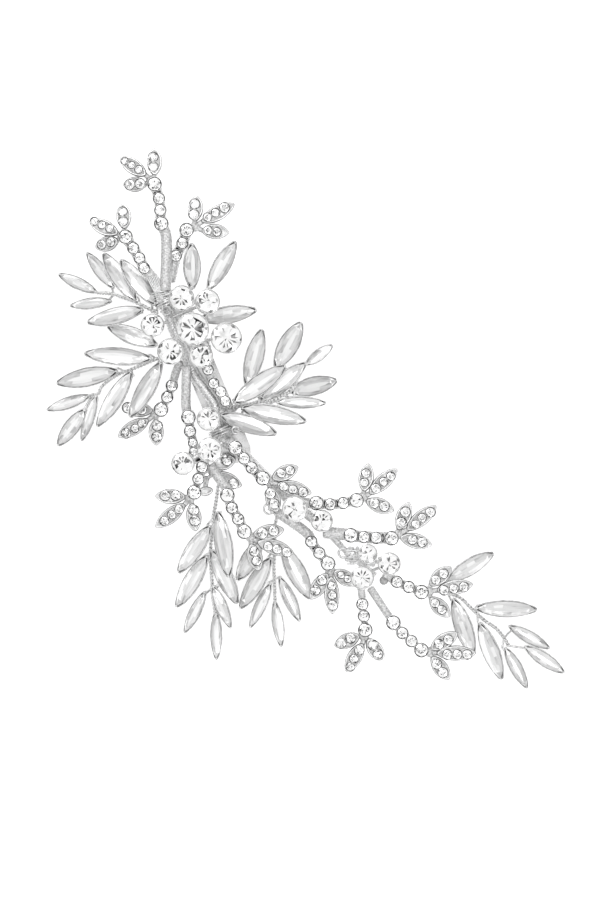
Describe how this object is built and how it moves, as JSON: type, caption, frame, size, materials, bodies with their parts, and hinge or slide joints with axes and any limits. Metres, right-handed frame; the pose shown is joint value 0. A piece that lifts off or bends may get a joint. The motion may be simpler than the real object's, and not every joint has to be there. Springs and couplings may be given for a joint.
{
  "type": "rhinestone hair clip",
  "caption": "Curved bridal hair ornament of round and marquise rhinestones on silver twigs and wire sprays, tied to a sprung alligator clip.",
  "frame": {"origin": "on the ground plane, under the middle of the ornament's bounding box, with the outer leaf tips resting on z = 0", "axes": "+Z out of the ornament's face, +Y towards the top twig, +X towards the tail spray's side"},
  "size_m": [0.1304, 0.1354, 0.0281],
  "materials": {
    "silver_casting": "bright silver plate over a cast texture",
    "silver_wire": "bright silver-plated wire",
    "round_crystal": "foil-backed faceted glass in a silver cup",
    "leaf_crystal": "foil-backed faceted glass navettes in silver rims",
    "clip_steel": "nickel-plated steel strip",
    "spring_steel": "bright spring wire"
  },
  "bodies": {
    "ornament": {"main_stem": "silver_casting", "twig_top_middle": "silver_casting", "twig_top_left": "silver_casting", "twig_top_right": "silver_casting", "twig_left_low": "silver_casting", "twig_inner_long": "silver_casting", "twig_inner_low": "silver_casting", "twig_middle_over": "silver_casting", "twig_middle_low": "silver_casting", "twig_right_first": "silver_casting", "twig_right_second": "silver_casting", "twig_tail_upper": "silver_casting", "twig_tail_lower": "silver_casting", "twig_tail_short": "silver_casting", "twig_lower_right": "silver_casting", "brilliant_crown_upper": "round_crystal", "brilliant_crown_right": "round_crystal", "brilliant_crown_centre": "round_crystal", "brilliant_crown_far": "round_crystal", "brilliant_crown_left": "round_crystal", "brilliant_crown_lower": "round_crystal", "brilliant_crown_inner": "round_crystal", "brilliant_middle_upper": "round_crystal", "brilliant_middle_centre": "round_crystal", "brilliant_middle_left": "round_crystal", "brilliant_lower_upper": "round_crystal", "brilliant_lower_right": "round_crystal", "brilliant_tail_left": "round_crystal", "brilliant_tail_right": "round_crystal", "spray_upper_left_stem": "silver_wire", "spray_upper_left_leaves_1": "leaf_crystal", "spray_upper_left_leaves_2": "leaf_crystal", "spray_upper_left_leaves_3": "leaf_crystal", "spray_lower_left_stem": "silver_wire", "spray_lower_left_leaves_1": "leaf_crystal", "spray_lower_left_leaves_2": "leaf_crystal", "spray_lower_left_leaves_3": "leaf_crystal", "spray_right_stem": "silver_wire", "spray_right_leaves_1": "leaf_crystal", "spray_right_leaves_2": "leaf_crystal", "spray_right_leaves_3": "leaf_crystal", "spray_right_leaves_4": "leaf_crystal", "spray_lower_middle_stem": "silver_wire", "spray_lower_middle_leaves_1": "leaf_crystal", "spray_lower_middle_leaves_2": "leaf_crystal", "spray_lower_middle_leaves_3": "leaf_crystal", "spray_lower_inner_stem": "silver_wire", "spray_lower_inner_leaves_1": "leaf_crystal", "spray_lower_inner_leaves_2": "leaf_crystal", "spray_tail_stem": "silver_wire", "spray_tail_leaves_1": "leaf_crystal", "spray_tail_leaves_2": "leaf_crystal", "spray_tail_leaves_3": "leaf_crystal", "fan_leaves": "leaf_crystal", "clip_plate": "clip_steel", "clip_pin": "clip_steel", "clip_spring": "spring_steel", "clip_tie_1": "silver_wire", "clip_tie_2": "silver_wire"},
    "jaw": {"clip_jaw": "clip_steel"}
  },
  "joints": [
    {"name": "jaw_hinge", "type": "hinge", "parent": "ornament", "child": "jaw", "pos_m": [-0.02811, 0.01759, 0.0116], "axis": [0.9219, 0.3875, 0], "range_deg": [0, 20], "stiffness_Nm_per_rad": 0.08, "springref_deg": -40.11, "deforming": ["clip_spring"]}
  ]
}
